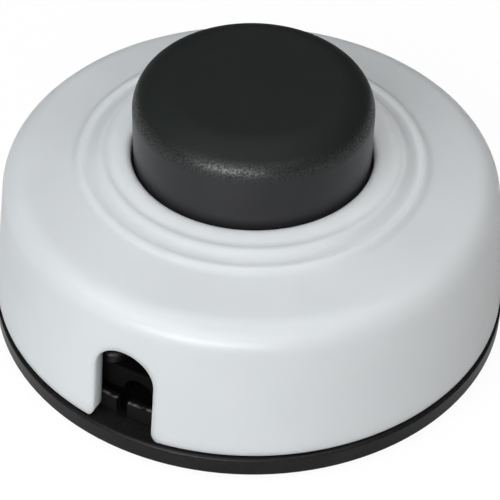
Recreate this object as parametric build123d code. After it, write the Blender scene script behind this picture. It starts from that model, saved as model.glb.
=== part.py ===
from build123d import *
import os
from math import cos, radians, sin, tan

os.makedirs("parts", exist_ok=True)

# Foot switch, millimetres. Z is up, the feet stand on z = 0, and the cord runs along Y.
# The notch that faces -Y is the one at the front. Heights are above the base's underside.

# overall size
base_dia = 60.0
foot_proud = 0.6
button_height = 30.4

# clearances
move_gap = 0.3
run_gap = 0.05
seat_gap = 0.03
hole_gap = 0.15
cut_over = 1.0
root_sink = 0.5

# base disc
base_thk = 2.5
base_edge_rad = 0.35
ledge_step = 0.3
ledge_inset = 0.95
spigot_gap = 0.25
spigot_wall = 0.9
spigot_height = 2.3
saddle_width = 1.4
saddle_offset = 1.1
centre_pad_dia = 5.2
centre_pad_thk = 0.9

# cover shell
cover_inset = 0.24
cover_foot_rad = 0.25
cover_draft = 6.74
cover_wall = 1.65
cover_roof = 2.2
cavity_rad = 1.6
shoulder_rad = 3.06
shoulder_height = 19.25
shoulder_inset = 4.4
cone_slope = 7.5
aperture_gap = 0.3
aperture_edge = 0.6
plateau_height = 21.0
web_thk = 1.2
web_lift = 4.0

# ripple rings, measured outward from the aperture or from each ring's own crease
ring_first = 2.6
ring_pitch = 2.4
ring_crest_run = 0.45
ring_width_in = 1.18
ring_width_out = 1.04
ring_foot_run = 1.77
ring_rise = 0.2
ring_drop = 0.44
ring_out_lift = 0.34

# cord notches
notch_width = 7.2
notch_height = 13.6
notch_flare = 1.3

# button
button_dia = 26.7
button_edge_rad = 3.8
button_wall = 1.95
button_roof = 2.0
button_travel = 3.5
flange_lip = 1.85
flange_thk = 1.5
key_width = 2.2
key_bite = 2.3
key_depth = 5.3
rib_thk = 1.2

# plunger and its socket
rod_dia = 7.2
socket_wall = 1.4
crown_dia = 10.8
crown_body = 1.6
crown_web = 0.4
rod_wall = 1.2

# return spring
coil_wire = 0.9
coil_mean_dia = 12.0
coil_turns = 4.5
coil_seat_wall = 2.2
coil_seat_depth = 3.0

# mechanism housing and lid
drum_case_dia = 21.8
drum_case_wall = 1.3
drum_case_height = 12.6
lid_thk = 1.5
lid_step = 1.0
lid_lip = 1.2
ear_out = 2.4
ear_rad = 2.5
ear_thk = 2.5

# ratchet rotor and spindle
rotor_dia = 12.8
rotor_height = 3.7
rotor_hub_dia = 4.4
spindle_dia = 2.0
spindle_seat = 1.6
spindle_stub = 0.8
tooth_count = 8
tooth_height = 1.0
tooth_root = 1.8
tooth_land = 0.4
ratchet_in = 3.4
ratchet_out = 5.2
detent_rad = 0.8
detent_depth = 0.3
detent_thk = 0.3
detent_nose = 0.9
detent_lift = 0.4
clip_dia = 4.8
clip_thk = 0.4
clip_bite = 0.25

# brass work
strip_thk = 0.6
strip_width = 3.0
strip_y = 7.8
strip_tip = 1.6
rivet_dia = 1.8
rivet_height = 0.4
bridge_thk = 0.5
bridge_arm_width = 3.0
bridge_gap = 0.8
bridge_hub_dia = 10.4
pin_dia = 1.2
pin_circle = 8.0
block_size = 6.0
block_height = 7.0
block_edge = 0.3
block_x = 18.0
neutral_length = 16.0
neutral_x = 18.5
neutral_screw_y = 5.0
wire_bore_dia = 3.2
wire_bore_lift = 2.6
tray_wall = 0.9
tray_height = 4.0

# cord clamps
clamp_inset = 4.2
clamp_depth = 3.8
clamp_width = 11.8
clamp_corner = 1.6
clamp_thk = 3.0
clamp_height = 5.0
clamp_screw_x = 4.1
clamp_groove_dia = 3.6
post_rad = 1.7

# screws and feet, with the recess and its arms as shares of the head
recess_share = 0.62
slot_share = 0.22
small_screw_dia = 2.2
small_head_dia = 3.8
small_head_thk = 1.4
small_screw_bite = 1.2
wire_screw_dia = 3.0
wire_head_dia = 4.4
wire_head_thk = 1.6
wire_screw_bite = 3.6
boss_inset = 8.5
boss_angle = 52.0
boss_dia = 6.6
boss_pad = 1.9
boss_flange = 0.3
cover_screw_dia = 2.9
cover_screw_bite = 8.0
blind_gap = 0.2
cover_head_dia = 5.2
cover_head_thk = 1.7
counterbore_depth = 2.0
foot_dia = 7.2
foot_sink = 0.8
foot_inset = 8.0

# heights and radii that follow
base_z = foot_proud
floor_z = base_z + base_thk
ledge_z = floor_z + ledge_step
spigot_top = floor_z + spigot_height
base_rad = base_dia / 2
cover_low_rad = base_rad - cover_inset
wall_lean = tan(radians(cover_draft))
cone_fall = tan(radians(cone_slope))
spigot_rad = cover_low_rad - (spigot_top - ledge_z) * wall_lean - cover_wall - spigot_gap
spigot_bore = spigot_rad - spigot_wall
ledge_rad = cover_low_rad - ledge_inset
shoulder_z = base_z + shoulder_height
shoulder_ref = base_rad - shoulder_inset
plateau_z = base_z + plateau_height
notch_top = base_z + notch_height
button_top_z = base_z + button_height
button_rad = button_dia / 2
aperture_rad = button_rad + aperture_gap
flange_rad = button_rad + flange_lip
roof_under_z = plateau_z - cover_roof
flange_top_z = roof_under_z - (flange_rad - aperture_rad) * cone_fall - move_gap
flange_low_z = flange_top_z - flange_thk
key_reach = flange_rad + key_bite
key_low_z = flange_top_z - key_depth
rod_rad = rod_dia / 2
case_rad = drum_case_dia / 2
case_bore = case_rad - drum_case_wall
case_top = floor_z + drum_case_height
lid_top = case_top + lid_thk
ear_reach = case_rad + ear_out
strip_top = floor_z + strip_thk
contact_z = strip_top + rivet_height
bridge_rivet_z = contact_z + move_gap
bridge_z = bridge_rivet_z + rivet_height
bridge_rad = case_bore - bridge_gap
drum_z = bridge_z + bridge_thk
ratchet_z = drum_z + rotor_height
pad_top = floor_z + centre_pad_thk
hub_z = pad_top + move_gap
crown_tip_z = ratchet_z + move_gap + button_travel
crown_root_z = crown_tip_z + tooth_height
crown_top_z = crown_root_z + crown_body
clip_z = ratchet_z + move_gap
spindle_low = floor_z - spindle_seat
spindle_top = clip_z + clip_thk + spindle_stub
button_ceiling = button_top_z - button_roof
coil_top = button_ceiling - coil_seat_depth
block_z = strip_top
clamp_face = base_rad - clamp_inset
clamp_y = clamp_face - clamp_depth / 2
clamp_bottom = base_z + clamp_height
boss_circle_rad = base_rad - boss_inset
boss_rad = boss_dia / 2
boss_z = floor_z + boss_pad
foot_circle_rad = base_rad - foot_inset


def ring(outer, inner, low, high):
    tube = Pos(0, 0, (low + high) / 2) * Cylinder(outer, high - low)
    return tube - Pos(0, 0, (low + high) / 2) * Cylinder(inner, high - low + cut_over)


def rod(radius, low, high, x=0, y=0):
    return Pos(x, y, (low + high) / 2) * Cylinder(radius, high - low)


def slab(x0, x1, y0, y1, z0, z1):
    size = Box(x1 - x0, y1 - y0, z1 - z0)
    return Pos((x0 + x1) / 2, (y0 + y1) / 2, (z0 + z1) / 2) * size


def around(shape, count, first=0):
    return [Rot(0, 0, first + i * 360 / count) * shape for i in range(count)]


def boss_points():
    points = []
    for side_x in (1, -1):
        for side_y in (1, -1):
            x = side_x * boss_circle_rad * cos(radians(boss_angle))
            y = side_y * boss_circle_rad * sin(radians(boss_angle))
            points.append((x, y))
    return points


def cross_slot(size, depth, z_open, x=0, y=0, up=True):
    # cross recess of a screw head, open at z_open
    z_mid = z_open - depth / 2 if up else z_open + depth / 2
    arm = size * slot_share
    arms = Box(size, arm, depth) + Box(arm, size, depth)
    return Pos(x, y, z_mid) * arms


def pan_screw(head_dia, head_thk, shank_dia, tip_z, head_z, x, y, slotted=False):
    # head stands on head_z and the shank goes down to tip_z
    head = rod(head_dia / 2, head_z, head_z + head_thk, x, y)
    head = fillet(head.edges().group_by(Axis.Z)[-1], head_thk * 0.45)
    top = head_z + head_thk
    if slotted:
        slot = head_dia * slot_share
        cut = Pos(x, y, top - slot / 2) * Box(head_dia + cut_over, slot, slot)
    else:
        cut = cross_slot(head_dia * recess_share, head_thk * 0.6, top, x, y)
    shank = rod(shank_dia / 2, tip_z, head_z, x, y)
    shank = chamfer(shank.edges().group_by(Axis.Z)[0], shank_dia * 0.18)
    return head - cut + shank


def wall_rad(z):
    return cover_low_rad - (z - ledge_z) * wall_lean


def cone_corner(cone_z, cone_rad, inset):
    # where a roof cone through (cone_rad, cone_z) meets the wall's line, moved inward by inset
    reach = wall_rad(0) - inset - cone_rad
    z = (cone_z - cone_fall * reach) / (1 - cone_fall * wall_lean)
    return wall_rad(z) - inset, z


def ripple_line():
    # from the edge of the flat cone in to the aperture, one crease and crest per ring
    in_rad = aperture_rad + ring_first
    out_rad = in_rad + ring_pitch
    foot_rad = out_rad + ring_foot_run
    cone_z = shoulder_z + (shoulder_ref - foot_rad) * cone_fall
    inner_z = plateau_z - (ring_first - aperture_edge) * cone_fall
    valley_z = inner_z - ring_drop
    foot = (foot_rad, cone_z)
    flank_out = (out_rad + ring_width_out, cone_z + ring_out_lift)
    crest_out = (out_rad + ring_crest_run, valley_z + ring_rise)
    crease_out = (out_rad, valley_z)
    flank_in = (in_rad + ring_width_in, inner_z)
    crest_in = (in_rad + ring_crest_run, inner_z + ring_rise)
    crease_in = (in_rad, inner_z)
    outer_crest = ThreePointArc(crease_out, crest_out, flank_out)
    outer_foot = TangentArc(flank_out, foot, tangent=outer_crest % 1)
    inner_crest = ThreePointArc(crease_in, crest_in, flank_in)
    scoop = TangentArc(flank_in, crease_out, tangent=inner_crest % 1)
    return [outer_foot, outer_crest, scoop, inner_crest], foot, crease_in


def cover_solid():
    # outer form, turned about the axis and still solid inside
    ripples, foot, crease_in = ripple_line()
    corner = cone_corner(shoulder_z, shoulder_ref, 0)
    low = (cover_low_rad, ledge_z)
    rim = (aperture_rad - cut_over, plateau_z + (aperture_edge + cut_over) * cone_fall)
    outline = [
        Line((0, ledge_z), low),
        Line(low, corner),
        Line(corner, foot),
        *ripples,
        Line(crease_in, rim),
        Line(rim, (0, rim[1])),
        Line((0, rim[1]), (0, ledge_z)),
    ]
    profile = make_face(Wire(outline))
    at_corner = profile.vertices().sort_by_distance(Vector(corner[0], corner[1], 0))[0]
    profile = fillet(at_corner, shoulder_rad)
    at_low = profile.vertices().sort_by_distance(Vector(low[0], low[1], 0))[0]
    profile = fillet(at_low, cover_foot_rad)
    return revolve(Plane.XZ * profile, Axis.Z)


def cover_cavity():
    # the roof's underside keeps the cone's slope
    bottom = ledge_z - cut_over
    low = (wall_rad(ledge_z) - cover_wall, bottom)
    corner = cone_corner(roof_under_z, aperture_rad, cover_wall)
    roof_in = (aperture_rad, roof_under_z)
    profile = make_face(Polyline((0, bottom), low, corner, roof_in, (0, roof_under_z), close=True))
    at_corner = profile.vertices().sort_by_distance(Vector(corner[0], corner[1], 0))[0]
    profile = fillet(at_corner, cavity_rad)
    return revolve(Plane.XZ * profile, Axis.Z)


def notch_cutter():
    # half-round arch with flared feet, cut straight along Y through both walls
    half = notch_width / 2
    side = half + 2 * notch_flare
    spring_z = notch_top - half
    bottom = ledge_z - cut_over
    sides = Polyline(
        (half, spring_z),
        (half, ledge_z),
        (side, ledge_z),
        (side, bottom),
        (-side, bottom),
        (-side, ledge_z),
        (-half, ledge_z),
        (-half, spring_z),
    )
    arch = ThreePointArc((-half, spring_z), (0, notch_top), (half, spring_z))
    face = make_face([*sides.edges(), arch])
    feet = [v for v in face.vertices() if abs(v.Y - ledge_z) < 0.01 and abs(abs(v.X) - half) < 0.01]
    face = fillet(feet, notch_flare)
    return extrude(Plane.XZ * face, base_rad + cut_over, both=True)


def web_limit():
    # half profile that keeps the webs inside the middle of the shell's own thickness
    inset = cover_wall / 2
    corner = cone_corner(roof_under_z + root_sink, aperture_rad, inset)
    return make_face(Polyline(
        (0, ledge_z),
        (wall_rad(ledge_z) - inset, ledge_z),
        corner,
        (0, roof_under_z + root_sink + aperture_rad * cone_fall),
        close=True,
    ))


def make_cover():
    body = cover_solid()
    cutter = notch_cutter()
    side = notch_width + 2 * notch_flare
    far = base_rad + cut_over
    near = spigot_bore * 0.7
    for turn in (0, 180):
        body -= cutter & (Rot(0, 0, turn) * slab(-side, side, -far, -near, 0, plateau_z))
    body -= cover_cavity()
    opening = rod(aperture_rad, roof_under_z - cut_over, plateau_z + cut_over)
    body -= opening
    rim = body.edges().filter_by(GeomType.CIRCLE).filter_by(
        lambda e: abs(e.radius - aperture_rad) < 0.01 and e.center().Z > plateau_z - cut_over
    )
    body = fillet(rim, aperture_edge)
    roof_root = roof_under_z - (boss_circle_rad - aperture_rad) * cone_fall + root_sink
    for x, y in boss_points():
        body += rod(boss_rad, boss_z, roof_root, x, y)
    near = boss_circle_rad + cut_over
    half = web_thk / 2
    web = slab(near, cover_low_rad, -half, half, spigot_top + web_lift, roof_root)
    web = web & revolve(Plane.XZ * web_limit(), Axis.Z)
    for angle in (boss_angle, 180 - boss_angle, 180 + boss_angle, -boss_angle):
        body += Rot(0, 0, angle) * web
    half = key_width / 2
    key = slab(aperture_rad + hole_gap, key_reach, -half, half, key_low_z, roof_under_z + root_sink)
    for angle in (0, 180):
        body += Rot(0, 0, angle) * key
    pilot_top = boss_z + cover_screw_bite + cut_over
    for x, y in boss_points():
        body -= rod(cover_screw_dia / 2 + seat_gap, boss_z - cut_over, pilot_top, x, y)
    return body


def make_base():
    disc = rod(base_rad, base_z, floor_z)
    disc = fillet(disc.edges(), base_edge_rad)
    low = floor_z - root_sink
    body = disc + rod(ledge_rad, low, ledge_z)
    body -= rod(spigot_bore, floor_z, ledge_z + cut_over)
    body += ring(spigot_rad, spigot_bore, low, spigot_top)
    saddle_z = floor_z + saddle_width / 2
    near = spigot_bore * 0.8
    saddle = slab(-saddle_width / 2, saddle_width / 2, -ledge_rad, -near, saddle_z, spigot_top + cut_over)
    floor_round = Rot(90, 0, 0) * Cylinder(saddle_width / 2, ledge_rad - near)
    saddle += Pos(0, -(ledge_rad + near) / 2, saddle_z) * floor_round
    for turn in (0, 180):
        body -= Rot(0, 0, turn) * Pos(-saddle_offset, 0, 0) * saddle
    for x, y in boss_points():
        body += rod(boss_rad + boss_flange, low, boss_z, x, y)
    pilot_rad = small_screw_dia / 2 + seat_gap
    pilot_low = floor_z - small_screw_bite - blind_gap
    for y in (clamp_y, -clamp_y):
        for x in (clamp_screw_x, -clamp_screw_x):
            body += rod(post_rad, low, clamp_bottom, x, y)
            body -= rod(pilot_rad, pilot_low, clamp_bottom + cut_over, x, y)
    body += rod(centre_pad_dia / 2, low, pad_top)
    body += terminal_trays()
    body -= rod(spindle_dia / 2 + seat_gap, spindle_low, pad_top + cut_over)
    for y in (ear_reach, -ear_reach):
        body -= rod(pilot_rad, spindle_low - blind_gap, floor_z + cut_over, 0, y)
    for x, y in boss_points():
        body -= rod(cover_head_dia / 2 + hole_gap, base_z - cut_over, base_z + counterbore_depth, x, y)
        body -= rod(cover_screw_dia / 2 + hole_gap, base_z, boss_z + cut_over, x, y)
    for x, y in foot_points():
        body -= rod(foot_dia / 2 + seat_gap, base_z - cut_over, base_z + foot_sink, x, y)
    return body


def foot_points():
    turns = [radians(a) for a in (0, 90, 180, 270)]
    return [(foot_circle_rad * cos(a), foot_circle_rad * sin(a)) for a in turns]


def terminal_trays():
    # upright walls that keep each brass block in place
    top = floor_z + tray_height
    low = floor_z - root_sink
    reach = block_size / 2 + seat_gap
    walls = []
    gate = strip_width / 2 + hole_gap
    for y in (strip_y, -strip_y):
        y0 = y - block_size / 2
        y1 = y + block_size / 2
        inner = slab(block_x - reach - tray_wall, block_x - reach, y0, y1, low, top)
        passage = slab(block_x - 2 * reach, block_x, y - gate, y + gate, floor_z, strip_top + hole_gap)
        walls.append(inner - passage)
        walls.append(slab(block_x + reach, block_x + reach + tray_wall, y0, y1, low, top))
    half = neutral_length / 2
    walls.append(slab(reach - neutral_x, reach - neutral_x + tray_wall, -half, half, low, top))
    walls.append(slab(-neutral_x - reach - tray_wall, -neutral_x - reach, -half, half, low, top))
    return walls


def make_button():
    outer = rod(button_rad, flange_low_z, button_top_z)
    outer = fillet(outer.edges().group_by(Axis.Z)[-1], button_edge_rad)
    inner = rod(button_rad - button_wall, flange_low_z - cut_over, button_ceiling)
    inner = fillet(inner.edges().group_by(Axis.Z)[-1], button_edge_rad - button_wall)
    body = outer - inner
    body += ring(flange_rad, button_rad - root_sink, flange_low_z, flange_top_z)
    half = key_width / 2 + move_gap
    far = flange_rad + cut_over
    slot = slab(button_rad + seat_gap, far, -half, half, flange_low_z - cut_over, flange_top_z + cut_over)
    for turn in (0, 180):
        body -= Rot(0, 0, turn) * slot
    roof_root = button_ceiling + root_sink / 2
    socket_low = lid_top + button_travel + move_gap
    socket_rad = rod_rad + socket_wall
    seat_rad = socket_rad + coil_seat_wall
    body += ring(socket_rad, rod_rad + seat_gap, socket_low, roof_root)
    body += ring(seat_rad, socket_rad - root_sink / 2, coil_top, roof_root)
    half = rib_thk / 2
    far = button_rad - button_wall / 2
    rib = slab(seat_rad - root_sink, far, -half, half, coil_top + move_gap, roof_root)
    for i in range(4):
        body += Rot(0, 0, 45 + 90 * i) * rib
    return body


def tooth_prism(points, reach_in, reach_out):
    side = Plane(origin=(reach_in, 0, 0), x_dir=(0, 1, 0), z_dir=(1, 0, 0))
    return extrude(side * make_face(Polyline(*points, close=True)), reach_out - reach_in)


def make_plunger():
    # round rod with a hollow lower end and a crown of ratchet teeth that points down
    body = rod(rod_rad, crown_root_z, button_ceiling)
    crown_bore = ratchet_in - crown_web
    body += ring(crown_dia / 2, crown_bore, crown_root_z, crown_top_z)
    hollow = spindle_top + button_travel + 2 * move_gap
    body -= rod(crown_bore, crown_root_z - cut_over, crown_top_z - crown_web)
    body -= rod(rod_rad - rod_wall, crown_root_z - cut_over, hollow + spindle_stub)
    face_t = -0.135
    tip_t = 0.5
    root_t = 1.4
    points = [
        (face_t, crown_root_z + 0.3),
        (face_t, crown_tip_z),
        (tip_t, crown_tip_z),
        (root_t, crown_root_z - 0.3),
        (root_t, crown_root_z + 0.3),
    ]
    tooth = tooth_prism(points, ratchet_in - 0.6, ratchet_out + 0.5)
    tooth = tooth & ring(ratchet_out, ratchet_in, crown_tip_z - 1, crown_top_z)
    for shape in around(tooth, tooth_count, 180 / tooth_count):
        body += shape
    bottom = crown_dia / 2
    top_edge = body.edges().filter_by(GeomType.CIRCLE).filter_by(
        lambda e: abs(e.radius - bottom) < 0.01 and abs(e.center().Z - crown_top_z) < 0.01
    )
    return chamfer(top_edge, 0.3)


def make_rotor():
    drum = rod(rotor_dia / 2, drum_z, ratchet_z)
    drum = fillet(drum.edges().group_by(Axis.Z)[-1], 0.3)
    body = drum + rod(rotor_hub_dia / 2, hub_z, drum_z)
    scallop = rod(detent_rad, drum_z - 1, ratchet_z + 1, rotor_dia / 2 + detent_rad - detent_depth, 0)
    for shape in around(scallop, tooth_count, 180 / tooth_count):
        body -= shape
    half = tooth_root / 2
    points = [
        (-half, ratchet_z - 0.3),
        (half, ratchet_z - 0.3),
        (half, ratchet_z + tooth_height),
        (half - tooth_land, ratchet_z + tooth_height),
        (-half, ratchet_z),
    ]
    tooth = tooth_prism(points, ratchet_in - 0.6, ratchet_out + 0.5)
    tooth = tooth & ring(ratchet_out, ratchet_in, ratchet_z - 0.3, ratchet_z + tooth_height + 1)
    for shape in around(tooth, tooth_count):
        body += shape
    pin = rod(pin_dia / 2, bridge_z - move_gap, drum_z, pin_circle / 2, 0)
    for shape in around(pin, 4, 45):
        body += shape
    return body - rod(spindle_dia / 2 + run_gap, hub_z - cut_over, ratchet_z + tooth_height + cut_over)


def make_bridge():
    # brass cross with a contact rivet under each arm end
    span = 2 * bridge_rad
    low = bridge_z - cut_over
    high = drum_z + cut_over
    arms = Box(span, bridge_arm_width, bridge_thk) + Box(bridge_arm_width, span, bridge_thk)
    plate = Pos(0, 0, bridge_z + bridge_thk / 2) * arms
    plate += rod(bridge_hub_dia / 2, bridge_z, drum_z)
    plate = plate & rod(bridge_rad, low, high)
    plate -= rod(rotor_hub_dia / 2 + seat_gap, low, high)
    for shape in around(rod(pin_dia / 2 + seat_gap, low, high, pin_circle / 2, 0), 4, 45):
        plate -= shape
    rivet = rod(rivet_dia / 2, bridge_rivet_z, bridge_z, strip_y, 0)
    rivet = fillet(rivet.edges().group_by(Axis.Z)[0], rivet_height * 0.6)
    for shape in around(rivet, 4):
        plate += shape
    return plate


def make_spindle():
    pin = rod(spindle_dia / 2, spindle_low, spindle_top)
    pin = chamfer(pin.edges().group_by(Axis.Z)[-1], spindle_dia / 10)
    groove = ring(spindle_dia, spindle_dia / 2 - clip_bite, clip_z, clip_z + clip_thk)
    return pin - groove


def make_clip():
    # open washer that snaps into the spindle's groove
    mouth = spindle_dia * 0.28
    clip = ring(clip_dia / 2, spindle_dia / 2 - clip_bite, clip_z, clip_z + clip_thk)
    return clip - slab(0, clip_dia, -mouth, mouth, clip_z - cut_over, clip_z + cut_over)


def make_detent_spring():
    # leaf along the housing's inner wall with a nose that points at the rotor's notches
    arc_rad = case_bore - detent_thk / 2
    start = (arc_rad * cos(radians(52)), arc_rad * sin(radians(52)))
    knee = (arc_rad * cos(radians(24)), arc_rad * sin(radians(24)))
    mid = (arc_rad * cos(radians(38)), arc_rad * sin(radians(38)))
    nose = rotor_dia / 2 + move_gap + detent_thk / 2
    root = nose + root_sink
    path = Wire([
        ThreePointArc(start, mid, knee),
        Line(knee, (root, detent_nose)),
        ThreePointArc((root, detent_nose), (nose, 0), (root, -detent_nose)),
        Line((root, -detent_nose), (knee[0], -knee[1])),
        ThreePointArc((knee[0], -knee[1]), (mid[0], -mid[1]), (start[0], -start[1])),
    ])
    strip = trace(path, line_width=detent_thk)
    leaf = extrude(Plane.XY.offset(drum_z + detent_lift) * strip, rotor_height - 2 * detent_lift)
    leaf = leaf & rod(case_bore, drum_z, ratchet_z)
    return Rot(0, 0, 180 / tooth_count) * leaf


def make_housing():
    body = ring(case_rad, case_bore, floor_z, case_top)
    ear_top = floor_z + ear_thk
    in_wall = case_rad - drum_case_wall / 3
    ear = rod(ear_rad, floor_z, ear_top, 0, ear_reach)
    ear += slab(-ear_rad, ear_rad, in_wall, ear_reach, floor_z, ear_top)
    near = strip_y - strip_width / 2 - hole_gap
    far = strip_y + strip_width / 2 + hole_gap
    slot_top = strip_top + hole_gap
    low = floor_z - cut_over
    ear_hole = rod(small_screw_dia / 2 + hole_gap, low, ear_top + cut_over, 0, ear_reach)
    for turn in (0, 180):
        body += Rot(0, 0, turn) * ear
        body -= Rot(0, 0, turn) * ear_hole
    for low_y, high_y in ((near, far), (-far, -near)):
        body -= slab(-strip_tip - hole_gap, case_rad + cut_over, low_y, high_y, low, slot_top)
    in_wall = case_bore + drum_case_wall / 4
    shelf = ring(in_wall, case_bore - 2 * detent_thk, drum_z - detent_thk, drum_z + detent_lift)
    turn = Rot(0, 0, 180 / tooth_count)
    edge = rotor_dia / 2 - cut_over
    keep = turn * slab(edge, case_rad, -case_bore * 0.88, case_bore * 0.88, 0, case_top)
    clear = turn * slab(edge, case_rad, -case_bore * 0.44, case_bore * 0.44, 0, case_top)
    body += (shelf & keep) - clear
    return body


def make_lid():
    lid = rod(case_rad, case_top, lid_top)
    lid = fillet(lid.edges().group_by(Axis.Z)[-1], lid_thk * 0.27)
    lid += rod(case_bore - seat_gap, case_top - lid_step, case_top)
    lid -= rod(case_bore - lid_lip, case_top - lid_step - cut_over, case_top)
    return lid - rod(rod_rad + run_gap, case_top - cut_over, lid_top + cut_over)


def make_fixed_contact(side):
    half = strip_width / 2
    y = side * strip_y
    strip = slab(-strip_tip, block_x + block_size * 0.4, y - half, y + half, floor_z, strip_top)
    strip = fillet(strip.edges().filter_by(Axis.Z), strip_width / 5)
    rivet = rod(rivet_dia / 2 + hole_gap, strip_top, contact_z, 0, y)
    rivet = fillet(rivet.edges().group_by(Axis.Z)[-1], rivet_height * 0.6)
    return strip + rivet


def wire_bore(x, length, y, z):
    return Pos(x, y, z) * Rot(90, 0, 0) * Cylinder(wire_bore_dia / 2, length + 2 * cut_over)


def terminal_block(x, y, length, low, screw_points):
    # brass block with a wire bore along Y and a screw hole over each wire place
    half = block_size / 2
    block = slab(x - half, x + half, y - length / 2, y + length / 2, low, low + block_height)
    block = chamfer(block.edges(), block_edge)
    bore_z = low + wire_bore_lift
    block -= wire_bore(x, length, y, bore_z)
    for screw_x, screw_y in screw_points:
        block -= rod(wire_screw_dia / 2 + seat_gap, bore_z, low + block_height + cut_over, screw_x, screw_y)
    return block


def make_terminal_screws(points, block_top):
    tip = block_top - wire_screw_bite
    size = (wire_head_dia, wire_head_thk, wire_screw_dia)
    return Compound([pan_screw(*size, tip, block_top, x, y, True) for x, y in points])


def make_clamp():
    half = clamp_width / 2
    bar = slab(-half, half, -clamp_face, -clamp_face + clamp_depth, clamp_bottom, clamp_bottom + clamp_thk)
    bar = fillet(bar.edges().filter_by(Axis.Z), clamp_corner)
    bar = fillet(bar.edges().group_by(Axis.Z)[-1], clamp_thk * 0.12)
    groove = Rot(90, 0, 0) * Cylinder(clamp_groove_dia / 2, clamp_depth + 2 * cut_over)
    bar -= Pos(0, -clamp_y, clamp_bottom) * groove
    for x in (clamp_screw_x, -clamp_screw_x):
        bore = small_screw_dia / 2 + hole_gap
        bar -= rod(bore, clamp_bottom - cut_over, clamp_bottom + clamp_thk + cut_over, x, -clamp_y)
    return bar


def make_clamp_screws():
    size = (small_head_dia, small_head_thk, small_screw_dia)
    tip = floor_z - small_screw_bite
    top = clamp_bottom + clamp_thk
    return Compound([pan_screw(*size, tip, top, x, -clamp_y) for x in (clamp_screw_x, -clamp_screw_x)])


def make_housing_screws():
    size = (small_head_dia, small_head_thk, small_screw_dia)
    seat = floor_z + ear_thk
    return Compound([pan_screw(*size, spindle_low, seat, 0, y) for y in (ear_reach, -ear_reach)])


def make_cover_screws():
    # heads face down inside the base's counterbores
    screws = []
    seat = base_z + counterbore_depth
    recess = cover_head_thk * 0.53
    for x, y in boss_points():
        head = rod(cover_head_dia / 2, seat - cover_head_thk, seat, x, y)
        head = fillet(head.edges().group_by(Axis.Z)[0], cover_head_thk * 0.4)
        head -= cross_slot(cover_head_dia * recess_share, recess, seat - cover_head_thk, x, y, False)
        shank = rod(cover_screw_dia / 2, seat, boss_z + cover_screw_bite, x, y)
        shank = chamfer(shank.edges().group_by(Axis.Z)[-1], cover_screw_dia * 0.2)
        screws.append(head + shank)
    return Compound(screws)


def make_foot(x, y):
    pad = rod(foot_dia / 2, 0, base_z + foot_sink, x, y)
    return fillet(pad.edges().group_by(Axis.Z)[0], foot_proud / 3)


def make_return_spring():
    # helix with closed ends that sit on the lid and against the button's seat
    low = lid_top + coil_wire / 2
    high = coil_top - coil_wire / 2
    path = Pos(0, 0, low) * Helix((high - low) / coil_turns, high - low, coil_mean_dia / 2)
    section = Plane(origin=path @ 0, z_dir=path % 0) * Circle(coil_wire / 2)
    coil = sweep(section, path=path)
    for z in (low, high):
        coil += Pos(0, 0, z) * Torus(coil_mean_dia / 2, coil_wire / 2)
    return coil


def save(shape, name):
    export_step(shape, f"parts/{name}.step")


save(make_cover(), "cover")
save(make_base(), "base")
save(make_button(), "button")
save(make_plunger(), "plunger")
save(make_return_spring(), "return_spring")
save(make_housing(), "mechanism_housing")
save(make_lid(), "mechanism_lid")
save(make_rotor(), "ratchet_rotor")
save(make_bridge(), "contact_bridge")
save(make_spindle(), "rotor_spindle")
save(make_clip(), "spindle_clip")
save(make_detent_spring(), "detent_spring")
save(make_fixed_contact(-1), "fixed_contact_in")
save(make_fixed_contact(1), "fixed_contact_out")
live_points = [(block_x, -strip_y), (block_x, strip_y)]
neutral_points = [(-neutral_x, -neutral_screw_y), (-neutral_x, neutral_screw_y)]
save(terminal_block(block_x, -strip_y, block_size, block_z, live_points[:1]), "live_terminal_in")
save(terminal_block(block_x, strip_y, block_size, block_z, live_points[1:]), "live_terminal_out")
save(terminal_block(-neutral_x, 0, neutral_length, floor_z, neutral_points), "neutral_terminal")
save(make_terminal_screws(live_points, block_z + block_height), "live_terminal_screws")
save(make_terminal_screws(neutral_points, floor_z + block_height), "neutral_terminal_screws")
save(make_clamp(), "cord_clamp_front")
save(Rot(0, 0, 180) * make_clamp(), "cord_clamp_rear")
save(make_clamp_screws(), "clamp_screws_front")
save(Rot(0, 0, 180) * make_clamp_screws(), "clamp_screws_rear")
save(make_housing_screws(), "housing_screws")
save(make_cover_screws(), "cover_screws")
for number, (x, y) in enumerate(foot_points(), 1):
    save(make_foot(x, y), f"foot_{number}")
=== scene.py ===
import bpy
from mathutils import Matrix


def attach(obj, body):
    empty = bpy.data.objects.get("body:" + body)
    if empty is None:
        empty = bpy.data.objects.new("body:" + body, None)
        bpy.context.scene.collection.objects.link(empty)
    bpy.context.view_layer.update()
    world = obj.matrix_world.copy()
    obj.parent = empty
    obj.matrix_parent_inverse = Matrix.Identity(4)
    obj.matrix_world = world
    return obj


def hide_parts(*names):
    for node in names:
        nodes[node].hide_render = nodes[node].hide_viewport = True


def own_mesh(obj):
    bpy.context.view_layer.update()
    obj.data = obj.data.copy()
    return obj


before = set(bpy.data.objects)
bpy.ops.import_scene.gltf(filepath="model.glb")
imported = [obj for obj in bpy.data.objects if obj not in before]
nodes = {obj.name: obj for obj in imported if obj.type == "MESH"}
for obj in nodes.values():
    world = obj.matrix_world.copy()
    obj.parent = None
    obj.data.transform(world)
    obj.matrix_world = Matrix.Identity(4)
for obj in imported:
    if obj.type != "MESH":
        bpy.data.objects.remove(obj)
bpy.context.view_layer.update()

import bpy
from math import cos, radians, sin
from mathutils import Matrix, Vector

for item in bpy.context.selected_objects:
    item.select_set(False)
print("frame in:", len(nodes), "CAD nodes")


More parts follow.
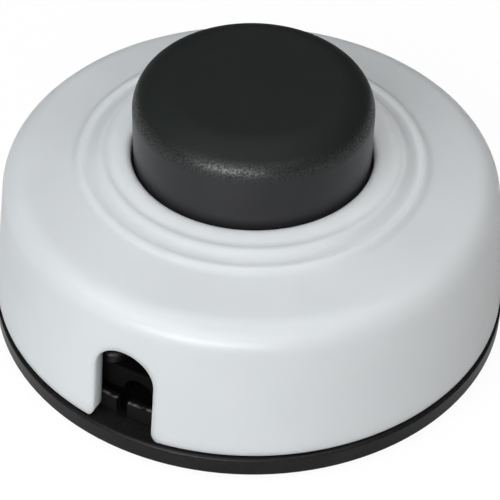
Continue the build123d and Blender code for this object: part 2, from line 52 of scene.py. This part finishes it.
# ---- camera, as the photograph stands: 42 degrees above the floor, notch to the left of the middle
shot = {
    "azimuth": 26.3,          # degrees from straight on to the front notch
    "elevation": 42.0,
    "distance": 0.200,
    "sideways": 0.00144,      # the aim lies this far right of the axis
    "upwards": -0.00477,
    "aimHeight": 0.0126,
    "roll": 1.82,
    "lens": 124.83,
    "sensor": 36,
    "shiftX": -0.0247,
    "shiftY": 0.0007,
    "clip": (0.01, 10),
}


def placeCamera():
    a, e, r = (radians(shot[k]) for k in ("azimuth", "elevation", "roll"))
    back = Vector((sin(a) * cos(e), -cos(a) * cos(e), sin(e)))
    right = Vector((cos(a), sin(a), 0))
    up = back.cross(right)
    place = back * shot["distance"] + right * shot["sideways"] + up * shot["upwards"]
    place += Vector((0, 0, shot["aimHeight"]))
    rightTurned = right * cos(r) + up * sin(r)
    upTurned = up * cos(r) - right * sin(r)
    turn = Matrix((rightTurned, upTurned, back)).transposed().to_4x4()
    lens = bpy.data.cameras.new("camera")
    lens.lens = shot["lens"]
    lens.sensor_width = shot["sensor"]
    lens.sensor_fit = "HORIZONTAL"
    lens.shift_x = shot["shiftX"]
    lens.shift_y = shot["shiftY"]
    lens.clip_start, lens.clip_end = shot["clip"]
    camera = bpy.data.objects.new("camera", lens)
    camera.matrix_world = Matrix.Translation(place) @ turn
    bpy.context.scene.collection.objects.link(camera)
    bpy.context.scene.camera = camera
    return right, Vector((sin(a), -cos(a), 0))


toRight, toFront = placeCamera()
print("camera set")


# ---- shader helpers: a Field is one socket, and sums on it add Math nodes
class Field:
    def __init__(self, finish, socket):
        self.finish = finish
        self.socket = socket

    def sum(self, operation, a, b):
        return self.finish.node("ShaderNodeMath", {"operation": operation}, {0: a, 1: b})

    def __add__(self, other):
        return self.sum("ADD", self, other)

    def __radd__(self, other):
        return self.sum("ADD", other, self)

    def __sub__(self, other):
        return self.sum("SUBTRACT", self, other)

    def __rsub__(self, other):
        return self.sum("SUBTRACT", other, self)

    def __mul__(self, other):
        return self.sum("MULTIPLY", self, other)

    def __rmul__(self, other):
        return self.sum("MULTIPLY", other, self)

    def __pow__(self, other):
        return self.sum("POWER", self, other)


class Finish:
    sockets = {"baseColor": "Base Color", "coat": "Coat Weight", "coatRoughness": "Coat Roughness",
               "ior": "IOR", "specular": "Specular IOR Level", "metallic": "Metallic",
               "roughness": "Roughness", "subsurface": "Subsurface Weight",
               "depth": "Subsurface Scale", "spread": "Subsurface Radius"}

    def __init__(self, name):
        self.material = bpy.data.materials.new(name)
        self.material.use_nodes = True
        self.tree = self.material.node_tree
        self.shader = self.tree.nodes["Principled BSDF"]
        self.place = self.node("ShaderNodeTexCoord", {}, {}, "Object")

    def node(self, kind, settings, values, out=0):
        made = self.tree.nodes.new(kind)
        for key, value in settings.items():
            setattr(made, key, value)
        for key, value in values.items():
            if isinstance(value, Field):
                self.tree.links.new(value.socket, made.inputs[key])
            else:
                made.inputs[key].default_value = value
        return Field(self, made.outputs[out])

    def fixed(self, **values):
        for key, value in values.items():
            self.shader.inputs[self.sockets[key]].default_value = value

    def feed(self, socket, field):
        self.tree.links.new(field.socket, self.shader.inputs[socket])

    def noise(self, size, detail=2.0, roughness=0.5, place=None):
        # size is the feature size in metres
        return self.node("ShaderNodeTexNoise", {}, {
            "Vector": place or self.place, "Scale": 1 / size, "Detail": detail, "Roughness": roughness})

    def stretched(self, x, y, z):
        return self.node("ShaderNodeMapping", {}, {"Vector": self.place, "Scale": (x, y, z)})

    def step(self, value, low, high):
        return self.node("ShaderNodeMapRange", {"interpolation_type": "SMOOTHSTEP"}, {
            "Value": value, "From Min": low, "From Max": high})

    def band(self, value, low, high, soft):
        # 1 between low and high, with soft edges
        return self.step(value, low - soft, low + soft) * (1 - self.step(value, high - soft, high + soft))

    def blend(self, mask, first, second):
        first, second = ((*c, 1) if isinstance(c, tuple) else c for c in (first, second))
        return self.node("ShaderNodeMix", {"data_type": "RGBA"}, {0: mask, 6: first, 7: second}, 2)

    def heights(self):
        # height above the floor and distance from the button's axis, in metres
        height = self.node("ShaderNodeSeparateXYZ", {}, {"Vector": self.place}, "Z")
        x, y = (Field(self, height.socket.node.outputs[axis]) for axis in ("X", "Y"))
        return height, (x * x + y * y) ** 0.5

    def bump(self, height, depth, strength=1.0, under=None):
        values = {"Strength": strength, "Distance": depth, "Height": height}
        if under:
            values["Normal"] = under
        return self.node("ShaderNodeBump", {}, values)


def dress(finish, *names):
    for name in names:
        slots = nodes[name].data.materials
        slots.clear()
        slots.append(finish.material)


# ---- cover: white moulded plastic, satin gloss, faintly uneven, with painted light on the plateau and in the ripple creases, and a little dust with painted shade in the creases
coverLook = {
    "white": (0.74, 0.76, 0.775),
    "shade": (0.70, 0.72, 0.735),
    "patch": 0.02,                     # size of the patches of shade
    "dust": (0.50, 0.50, 0.49),
    "scuff": (0.60, 0.60, 0.60),
    "scuffHeight": (0.0155, 0.0195, 0.001),
    "scuffShare": 0.25,
    "streak": 0.0012,
    "paintedLightWhite": (0.88, 0.905, 0.925),     # painted light: the plateau inside the first ripple and the creases are lightened towards this white
    "plateauEdge": (0.0158, 0.0166),
    "plateauHeight": (0.0200, 0.0205),
    "creases": (0.01625, 0.01874),
    "creaseHalf": 0.00022,
    "creaseHeight": (0.0195, 0.020),
    "creasePaintedLight": 0.60,                # painted light: the creases are lightened by this share, against their shade
    # dust in the creases, which also darkens them as painted shade
    "creaseDustAndShade": 0.08,
    "footHeight": (0.0034, 0.0052),    # dust along the cover's lower edge fades out over these heights
    "footDust": 0.10,
    "peel": (0.0016, 0.000012),        # size and depth of the moulded unevenness, then of the grain
    "grain": (0.00022, 0.000004),
    "rimRound": 0.0007,
    "notchRound": 0.0003,              # more than that round the notches, up to these heights
    "notchHeight": (0.0175, 0.0185),
    "creaseRound": 0.0006,             # and more in the inner crease, which is moulded softer
    "innerCrease": (0.0156, 0.0170, 0.0004),
}


def coverColour(f, height, reach, rubbed):
    look = coverLook
    patches = f.step(f.noise(look["patch"], 3), 0.35, 0.65)
    colour = f.blend(patches, look["white"], look["shade"])
    # painted light: the plateau round the button, which the button shades, is lightened
    plateau = (1 - f.step(reach, *look["plateauEdge"])) * f.step(height, *look["plateauHeight"])
    colour = f.blend(plateau * (0.8 + 0.3 * (f.noise(0.002, 3) - 0.5)), colour, look["paintedLightWhite"])
    half = look["creaseHalf"]
    # each crease gets painted light against its shade, then dust that also darkens it as painted shade
    for r in look["creases"]:
        crease = f.band(reach, r - half, r + half, half) * f.step(height, *look["creaseHeight"])
        colour = f.blend(crease * look["creasePaintedLight"], colour, look["paintedLightWhite"])
        colour = f.blend(crease * look["creaseDustAndShade"] * f.noise(0.003, 4), colour, look["dust"])
    colour = f.blend(rubbed * look["scuffShare"], colour, look["scuff"])
    foot = 1 - f.step(height, *look["footHeight"])
    return f.blend(foot * look["footDust"], colour, look["dust"])


def coverFinish():
    f = Finish("coverWhite")
    look = coverLook
    height, reach = f.heights()
    streaks = f.noise(look["streak"], 5, 0.65, f.stretched(1, 1, 0.25))
    rubbed = f.step(streaks, 0.66, 0.78) * f.band(height, *look["scuffHeight"])
    f.feed("Base Color", coverColour(f, height, reach, rubbed))
    f.feed("Roughness", 0.33 + 0.08 * f.noise(0.004, 3) + rubbed * 0.12)
    # moulded rims are never sharp, so the edges are shaded round
    wide = (1 - f.step(height, *look["notchHeight"])) * look["notchRound"]
    wide = wide + f.band(reach, *look["innerCrease"]) * look["creaseRound"]
    rounded = f.node("ShaderNodeBevel", {"samples": 8}, {"Radius": wide + look["rimRound"]})
    peelSize, peelDepth = look["peel"]
    grainSize, grainDepth = look["grain"]
    peel = f.bump(f.noise(peelSize, 2), peelDepth, 0.6, rounded)
    f.feed("Normal", f.bump(f.noise(grainSize, 2), grainDepth, 0.5, peel))
    f.fixed(ior=1.49, coat=0.12, coatRoughness=0.17)
    f.fixed(subsurface=0.9, depth=0.0016, spread=(1.0, 0.93, 0.9))
    return f


dress(coverFinish(), "cover")
print("cover dressed")


# ---- black mouldings: base, clamps and button, with a fine spark-eroded grain
blackLook = {
    "base": (0.0095, 0.0090, 0.0098),
    # painted shade: the inside of the base and the clamps are darkened to this
    "hollow": (0.0030, 0.0030, 0.0032),
    "baseWorn": (0.028, 0.027, 0.026),
    "button": (0.0168, 0.0198, 0.0184),
    # painted reflection: the side's purplish tint stands in for the cover it reflects
    "buttonSideReflection": (0.0150, 0.0142, 0.0168),
    "buttonWorn": (0.023, 0.024, 0.023),
    # painted highlight along the spigot's top edge, seen through the notches
    "rim": (0.21, 0.205, 0.20),
    "patch": 0.006,                  # size of the worn patches, and how much they show
    "patchShare": 0.35,
    "grain": 0.00026,
    "grainDepth": 0.000028,
    "wave": 0.0014,
    "waveDepth": 0.00001,
    "speck": 0.00020,
    "spigotTop": 0.0054,
    "spigotLip": (-0.00012, 0.0003, 0.00006),     # below and above the spigot's top, and how soft
    "spigotReach": (0.02716, 0.02750, 0.0001),
    "inside": (0.0276, 0.0279),
    "insideHeight": (0.0012, 0.0016),
    "baseEdge": (0.02955, 0.02980),
    "floorTop": 0.0031,
    "floorRim": (-0.00045, 0.0001, 0.00012),      # below and above the ledge's top, and how soft
    "edgeTop": (0.0288, 0.0298),     # the button's rounded edge lies between these heights, its side below
    "edgeFoot": (0.0272, 0.0281),
}


def wornPatches(f, colour, worn):
    patches = f.step(f.noise(blackLook["patch"], 4), 0.3, 0.75)
    return f.blend(patches * blackLook["patchShare"], colour, worn)


def blackGrain(f, detail):
    grain = f.noise(blackLook["grain"], detail, 0.6)
    soft = f.bump(f.noise(blackLook["wave"], 2), blackLook["waveDepth"], 0.5)
    f.feed("Normal", f.bump(grain, blackLook["grainDepth"], 0.8, soft))
    return grain


def baseFinish():
    f = Finish("baseBlack")
    height, reach = f.heights()
    grain = blackGrain(f, 3)
    # painted shade: inside the base, darker and rougher
    hollow = (1 - f.step(reach, *blackLook["inside"])) * f.step(height, *blackLook["insideHeight"])
    top = blackLook["spigotTop"]
    below, above, soft = blackLook["spigotLip"]
    # painted highlight along the spigot's top edge, broken by noise
    lipHighlight = f.band(height, top + below, top + above, soft) * f.band(reach, *blackLook["spigotReach"])
    lipHighlight = lipHighlight * f.step(f.noise(0.0008, 4), 0.34, 0.60)
    top = blackLook["floorTop"]
    below, above, soft = blackLook["floorRim"]
    rim = f.band(height, top + below, top + above, soft) * f.step(reach, *blackLook["baseEdge"])
    chips = f.step(f.noise(0.0009, 5, 0.7), 0.5, 0.66)
    colour = wornPatches(f, blackLook["base"], blackLook["baseWorn"])
    colour = f.blend(hollow, colour, blackLook["hollow"])
    colour = f.blend(lipHighlight * 0.9, colour, blackLook["rim"])
    f.feed("Base Color", f.blend(rim * chips * 0.5, colour, blackLook["baseWorn"]))
    f.feed("Roughness", 0.17 + 0.14 * grain + 0.45 * hollow - 0.06 * rim)
    f.fixed(ior=1.5, specular=0.13)
    return f


def buttonFinish():
    # matt top, an edge rubbed glossy by shoes with the grain still standing in it, a side tinted with a
    # painted reflection
    f = Finish("buttonBlack")
    height = f.heights()[0]
    grain = blackGrain(f, 2)
    side = 1 - f.step(height, *blackLook["edgeFoot"])
    edge = (1 - side) * (1 - f.step(height, *blackLook["edgeTop"]))
    speck = f.step(f.noise(blackLook["speck"], 1, 0.5), 0.36, 0.64)
    colour = wornPatches(f, blackLook["button"], blackLook["buttonWorn"])
    # painted reflection tint on the side
    colour = f.blend(side * 0.9, colour, blackLook["buttonSideReflection"])
    f.feed("Base Color", f.blend(edge * speck * 0.3, colour, blackLook["buttonWorn"]))
    f.feed("Roughness", 0.42 + 0.18 * grain)
    f.feed("Coat Weight", edge * (0.12 + 0.62 * speck) + side * 0.55)
    f.fixed(ior=1.5, specular=0.08, coatRoughness=0.30)
    return f


def clampFinish():
    f = Finish("clampBlack")
    grain = blackGrain(f, 3)
    # painted shade: the clamps inside the notches take the inside's dark colour, with patches of the
    # base's black
    f.feed("Base Color", wornPatches(f, blackLook["hollow"], blackLook["base"]))
    f.feed("Roughness", 0.6 + 0.2 * grain)
    f.fixed(ior=1.5, specular=0.05)
    return f


dress(baseFinish(), "base")
dress(buttonFinish(), "button")
dress(clampFinish(), "cord_clamp_front", "cord_clamp_rear")
print("black mouldings dressed")


# ---- rubber feet: matt, slightly dusty, with a grain that holds dirt
footLook = {
    "rubber": (0.022, 0.022, 0.022),
    "dust": (0.12, 0.115, 0.105),
    "dustHeight": (0.0001, 0.0006),
    "fleck": 0.002,
    "grain": 0.0004,
    "grainDepth": 0.00004,
}


def footFinish():
    f = Finish("footRubber")
    height = f.heights()[0]
    grain = f.noise(footLook["grain"], 4, 0.65)
    flecks = f.step(f.noise(footLook["fleck"], 5), 0.45, 0.7)
    dust = flecks * (1 - f.step(height, *footLook["dustHeight"])) * 0.5
    f.feed("Base Color", f.blend(dust, footLook["rubber"], footLook["dust"]))
    f.feed("Roughness", 0.72 + 0.2 * grain)
    f.feed("Normal", f.bump(grain, footLook["grainDepth"], 0.7))
    f.fixed(ior=1.52)
    return f


dress(footFinish(), "foot_1", "foot_2", "foot_3", "foot_4")
print("feet dressed")


# ---- inner mouldings: grey housing, natural acetal plunger, brown rotor; light, dark, roughness
innerLook = {
    "housing": ((0.14, 0.14, 0.145), (0.11, 0.11, 0.115), 0.45),
    "acetal": ((0.72, 0.71, 0.67), (0.66, 0.65, 0.60), 0.36),
    "rotor": ((0.30, 0.060, 0.035), (0.22, 0.045, 0.028), 0.34),
    "patch": 0.003,
    "fine": 0.0003,
    "fineDepth": 0.000012,
}


def innerFinish(name, look):
    light, dark, rough = innerLook[look]
    f = Finish(name)
    patches = f.step(f.noise(innerLook["patch"], 4), 0.3, 0.7)
    fine = f.noise(innerLook["fine"], 3, 0.6)
    f.feed("Base Color", f.blend(patches, light, dark))
    f.feed("Roughness", rough + 0.12 * fine)
    f.feed("Normal", f.bump(fine, innerLook["fineDepth"], 0.6))
    f.fixed(ior=1.48)
    return f


dress(innerFinish("housingGrey", "housing"), "mechanism_housing", "mechanism_lid")
dress(innerFinish("acetalWhite", "acetal"), "plunger")
dress(innerFinish("rotorBrown", "rotor"), "ratchet_rotor")
print("inner mouldings dressed")


# ---- metals: stamped brass, drawn spring steel, zinc plated screws, blackened clamp screws
# bright, dull, roughness, how the drawn lines are stretched, size of the lines
metalLook = {
    "brass": ((0.74, 0.55, 0.25), (0.52, 0.36, 0.15), 0.27, (1, 14, 14), 0.0008),
    "spring": ((0.50, 0.50, 0.51), (0.34, 0.34, 0.35), 0.26, (6, 6, 1), 0.0006),
    "zinc": ((0.66, 0.66, 0.64), (0.50, 0.50, 0.49), 0.32, (3, 3, 3), 0.0010),
    "oxide": ((0.030, 0.030, 0.032), (0.018, 0.018, 0.018), 0.42, (3, 3, 3), 0.0008),
    "tarnish": 0.0022,
    "lineDepth": 0.000008,
}


def metalFinish(name, look):
    bright, dull, rough, drawn, size = metalLook[look]
    f = Finish(name)
    lines = f.noise(size, 3, 0.6, f.stretched(*drawn))
    tarnish = f.step(f.noise(metalLook["tarnish"], 5, 0.6), 0.42, 0.72)
    f.feed("Base Color", f.blend(tarnish * 0.7, bright, dull))
    f.feed("Roughness", rough + 0.14 * tarnish + 0.10 * lines)
    f.feed("Normal", f.bump(lines, metalLook["lineDepth"], 0.5))
    f.fixed(metallic=1.0)
    return f


dress(metalFinish("contactBrass", "brass"),
      "contact_bridge", "fixed_contact_in", "fixed_contact_out",
      "live_terminal_in", "live_terminal_out", "neutral_terminal")
dress(metalFinish("springSteel", "spring"),
      "return_spring", "detent_spring", "spindle_clip", "rotor_spindle")
dress(metalFinish("screwZinc", "zinc"),
      "live_terminal_screws", "neutral_terminal_screws", "housing_screws", "cover_screws")
dress(metalFinish("screwOxide", "oxide"), "clamp_screws_front", "clamp_screws_rear")
print("metals dressed")


# ---- return spring: a copy of the CAD coil, merged and shaded smooth, in place of the CAD node
coilLook = {"seat": 0.0172, "travel": 0.0035, "weld": 0.000001, "smooth": 40}


def buildCoil():
    source = nodes["return_spring"]
    coil = bpy.data.objects.new("returnCoil", source.data.copy())
    bpy.context.scene.collection.objects.link(coil)
    coil.select_set(True)
    bpy.context.view_layer.objects.active = coil
    bpy.ops.object.mode_set(mode="EDIT")
    bpy.ops.mesh.select_all(action="SELECT")
    bpy.ops.mesh.remove_doubles(threshold=coilLook["weld"])
    bpy.ops.object.mode_set(mode="OBJECT")
    bpy.ops.object.shade_smooth_by_angle(angle=radians(coilLook["smooth"]))
    coil.select_set(False)
    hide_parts("return_spring")
    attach(coil, "body")
    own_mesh(coil)


buildCoil()


# ---- studio: white floor, soft lamps in front and above, weaker ones at the right and behind
studio = {
    "floor": 2.4,
    "floorWhite": (0.80, 0.80, 0.80, 1),
    "clearance": 0.00003,     # keeps the floor from flickering through the feet's undersides
    "white": (1, 1, 1, 1),
    "glow": 0.90,             # share of the floor's white that the camera sees without shade
    "glowStrength": 1.04,
    "world": 0.01,
    "lampReach": 0.45,        # all lamps hang this far from the switch
}
# degrees left or right of the camera, degrees up, width, height, watts, colour
lamps = {
    "frontLow": (-22, 11, 0.16, 0.16, 0.24, (1.0, 1.0, 1.0)),
    "front": (0, 36, 0.22, 0.22, 0.31, (0.98, 1.0, 1.0)),
    "frontRight": (30, 36, 0.22, 0.22, 0.20, (1.0, 0.97, 0.94)),
    "frontLeft": (-30, 36, 0.22, 0.22, 0.43, (0.965, 0.99, 1.0)),
    "left": (-60, 36, 0.22, 0.22, 0.25, (0.93, 0.975, 1.0)),
    "leftHigh": (-60, 62, 0.25, 0.25, 0.27, (0.95, 0.99, 1.0)),
    "rightHigh": (60, 62, 0.25, 0.25, 0.22, (1.0, 0.965, 0.93)),
    "back": (180, 62, 0.25, 0.25, 0.18, (1.0, 1.0, 1.0)),
    "top": (0, 89, 0.30, 0.30, 0.42, (0.98, 0.99, 1.0)),
    "strip": (-18, 8, 0.54, 0.10, 1.36, (1.0, 1.0, 1.0)),
}
shineOnly = "strip"           # only shows as a shine, on the button's edge and the cover's shoulder


def buildFloor():
    bpy.ops.mesh.primitive_plane_add(size=studio["floor"], location=(0, 0, -studio["clearance"]))
    floor = bpy.context.active_object
    floor.name = "floor"
    f = Finish("floorWhite")
    f.fixed(baseColor=studio["floorWhite"], roughness=0.9, specular=0.1)
    glow = f.node("ShaderNodeEmission", {}, {"Color": studio["white"], "Strength": studio["glowStrength"]})
    seen = f.node("ShaderNodeLightPath", {}, {}, "Is Camera Ray")
    matt = Field(f, f.shader.outputs[0])
    mix = f.node("ShaderNodeMixShader", {}, {0: seen * studio["glow"], 1: matt, 2: glow})
    f.tree.links.new(mix.socket, f.tree.nodes["Material Output"].inputs[0])
    floor.data.materials.append(f.material)


def buildWorld():
    # white to the camera, nearly dark to everything else
    world = bpy.data.worlds.new("studio")
    bpy.context.scene.world = world
    world.use_nodes = True
    tree = world.node_tree
    back = tree.nodes["Background"]
    rays = tree.nodes.new("ShaderNodeLightPath")
    seen = tree.nodes.new("ShaderNodeMath")
    seen.operation = "MULTIPLY_ADD"
    tree.links.new(rays.outputs["Is Camera Ray"], seen.inputs[0])
    seen.inputs[1].default_value = 1 - studio["world"]
    seen.inputs[2].default_value = studio["world"]
    back.inputs["Color"].default_value = studio["white"]
    tree.links.new(seen.outputs[0], back.inputs["Strength"])


def hangLamps():
    for name, (turn, rise, width, height, watts, colour) in lamps.items():
        lamp = bpy.data.lights.new(name, "AREA")
        lamp.shape = "ELLIPSE"
        lamp.size = width
        lamp.size_y = height
        lamp.energy = watts
        lamp.color = colour
        a, e = radians(turn), radians(rise)
        place = (toRight * sin(a) + toFront * cos(a)) * cos(e) + Vector((0, 0, sin(e)))
        place *= studio["lampReach"]
        hung = bpy.data.objects.new(name, lamp)
        hung.matrix_world = Matrix.Translation(place) @ place.to_track_quat("Z", "Y").to_matrix().to_4x4()
        hung.visible_diffuse = name != shineOnly
        bpy.context.scene.collection.objects.link(hung)


buildFloor()
buildWorld()
hangLamps()
bpy.context.scene.view_settings.view_transform = "Standard"
print("studio built")
